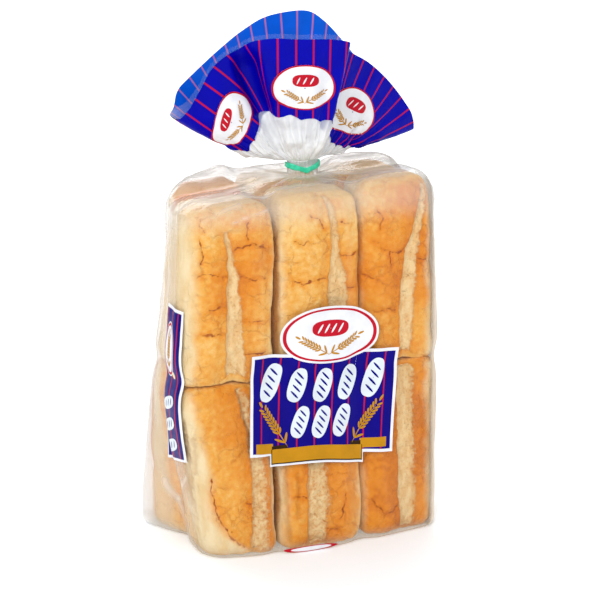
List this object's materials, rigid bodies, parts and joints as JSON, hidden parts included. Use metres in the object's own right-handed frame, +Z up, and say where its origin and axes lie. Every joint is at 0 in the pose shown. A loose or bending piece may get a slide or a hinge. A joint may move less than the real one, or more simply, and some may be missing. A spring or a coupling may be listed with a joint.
{
  "type": "tied clear bag of french rolls",
  "caption": "Clear plastic bag of split-top french rolls standing on end, with a printed front panel, a tied neck and a fanned-out printed mouth.",
  "frame": {"origin": "on the resting face, under the middle of the block of rolls", "axes": "+Z up from the resting face to the mouth, -Y towards the printed front, +X to the right of the front"},
  "size_m": [0.2292, 0.1186, 0.407],
  "materials": {
    "film": "clear thin polythene, lightly hazy and creased",
    "tie": "satin green band",
    "print_blue": "deep blue ink on film",
    "print_inside": "the blue ink seen through the film from inside the mouth",
    "print_red": "red ink on film",
    "print_white": "opaque white ink on film",
    "print_gold": "gold ink on film",
    "bread": "matte baked crust, golden on top, pale at the sides and in the split"
  },
  "bodies": {
    "root": {"bag": "film", "tie": "tie"}
  },
  "joints": []
}
